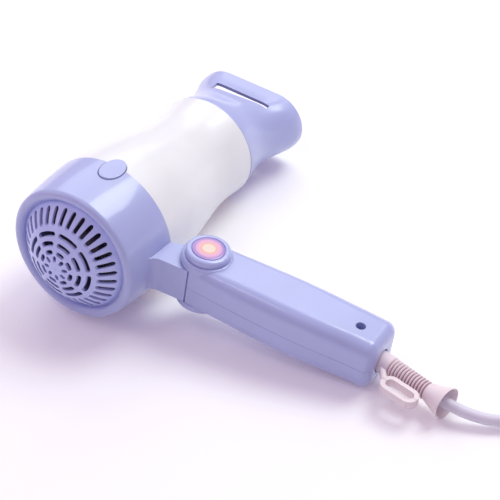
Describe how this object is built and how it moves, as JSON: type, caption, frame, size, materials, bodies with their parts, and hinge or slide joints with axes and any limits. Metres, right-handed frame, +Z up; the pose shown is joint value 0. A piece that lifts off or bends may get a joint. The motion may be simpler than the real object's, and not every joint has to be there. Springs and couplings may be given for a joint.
{
  "type": "hair dryer",
  "caption": "Folding hair dryer lying on its side: domed slotted intake, tapered barrel, flat concentrator nozzle, hinged handle with slide switch, ribbed strain relief, coiled cord and plug.",
  "frame": {"origin": "on the floor under the middle of the dryer's box without its cord", "axes": "+Z up from the floor, +Y along the barrel toward the nozzle, +X along the handle away from the barrel"},
  "size_m": [0.4073, 0.1767, 0.0775],
  "materials": {
    "lavender_shell": "satin lavender plastic",
    "white_barrel": "satin white plastic",
    "lavender_grille": "satin lavender plastic",
    "cap_plastic": "satin lavender plastic",
    "cap_print": "printed rings",
    "soft_vinyl": "matt vinyl",
    "cord_vinyl": "matt vinyl",
    "steel": "zinc plated",
    "motor_steel": "plated can",
    "fan_plastic": "moulded plastic",
    "mount_plastic": "moulded plastic",
    "mica": "mica sheet",
    "nichrome": "oxidised wire",
    "switch_plastic": "moulded plastic",
    "guard_steel": "black enamel",
    "tie_vinyl": "flat band",
    "pin_brass": "plated"
  },
  "bodies": {
    "body": {"rear_housing": "lavender_shell", "intake_grille": "lavender_grille", "barrel_shell": "white_barrel", "button_switch": "switch_plastic", "motor_mount": "mount_plastic", "motor_can": "motor_steel", "heat_shield": "mica", "heater_boards": "mica", "heater_winding": "nichrome", "thermal_cutout": "switch_plastic", "front_guard": "guard_steel"},
    "fan": {"motor_shaft": "steel", "impeller": "fan_plastic"},
    "nozzle": {"nozzle": "lavender_shell"},
    "button": {"cool_shot_button": "lavender_shell"},
    "handle": {"handle_upper": "lavender_shell", "handle_lower": "lavender_shell", "hinge_pin": "steel", "hinge_screw": "steel", "hinge_cap": "cap_plastic", "cap_disc": "cap_print", "handle_screw": "steel", "switch_body": "switch_plastic", "strain_relief": "soft_vinyl", "cord_lead": "cord_vinyl", "cord_coil": "cord_vinyl", "cord_tail": "cord_vinyl", "cord_tie": "tie_vinyl", "plug_body": "soft_vinyl", "plug_pins": "pin_brass"},
    "slider": {"switch_knob": "lavender_shell"}
  },
  "joints": [
    {"name": "handle_fold", "type": "hinge", "parent": "body", "child": "handle", "pos_m": [-0.00194, -0.04395, 0.02831], "axis": [0.1604, 0.1045, 0.9815], "range_deg": [0, 86]},
    {"name": "nozzle_swivel", "type": "hinge", "parent": "body", "child": "nozzle", "pos_m": [-0.05909, -0.04336, 0.03759], "axis": [0, 0.9944, -0.1058], "continuous": true},
    {"name": "fan_spin", "type": "hinge", "parent": "body", "child": "fan", "pos_m": [-0.05909, -0.04336, 0.03759], "axis": [0, 0.9944, -0.1058], "continuous": true},
    {"name": "cool_shot_press", "type": "slide", "parent": "body", "child": "button", "axis": [-0.1604, -0.1045, -0.9815], "range_m": [0, 0.0012], "stiffness_N_per_m": 600, "springref_m": -0.0005},
    {"name": "switch_slide", "type": "slide", "parent": "handle", "child": "slider", "axis": [0.9844, 0.0559, -0.1668], "range_m": [0, 0.008]}
  ]
}
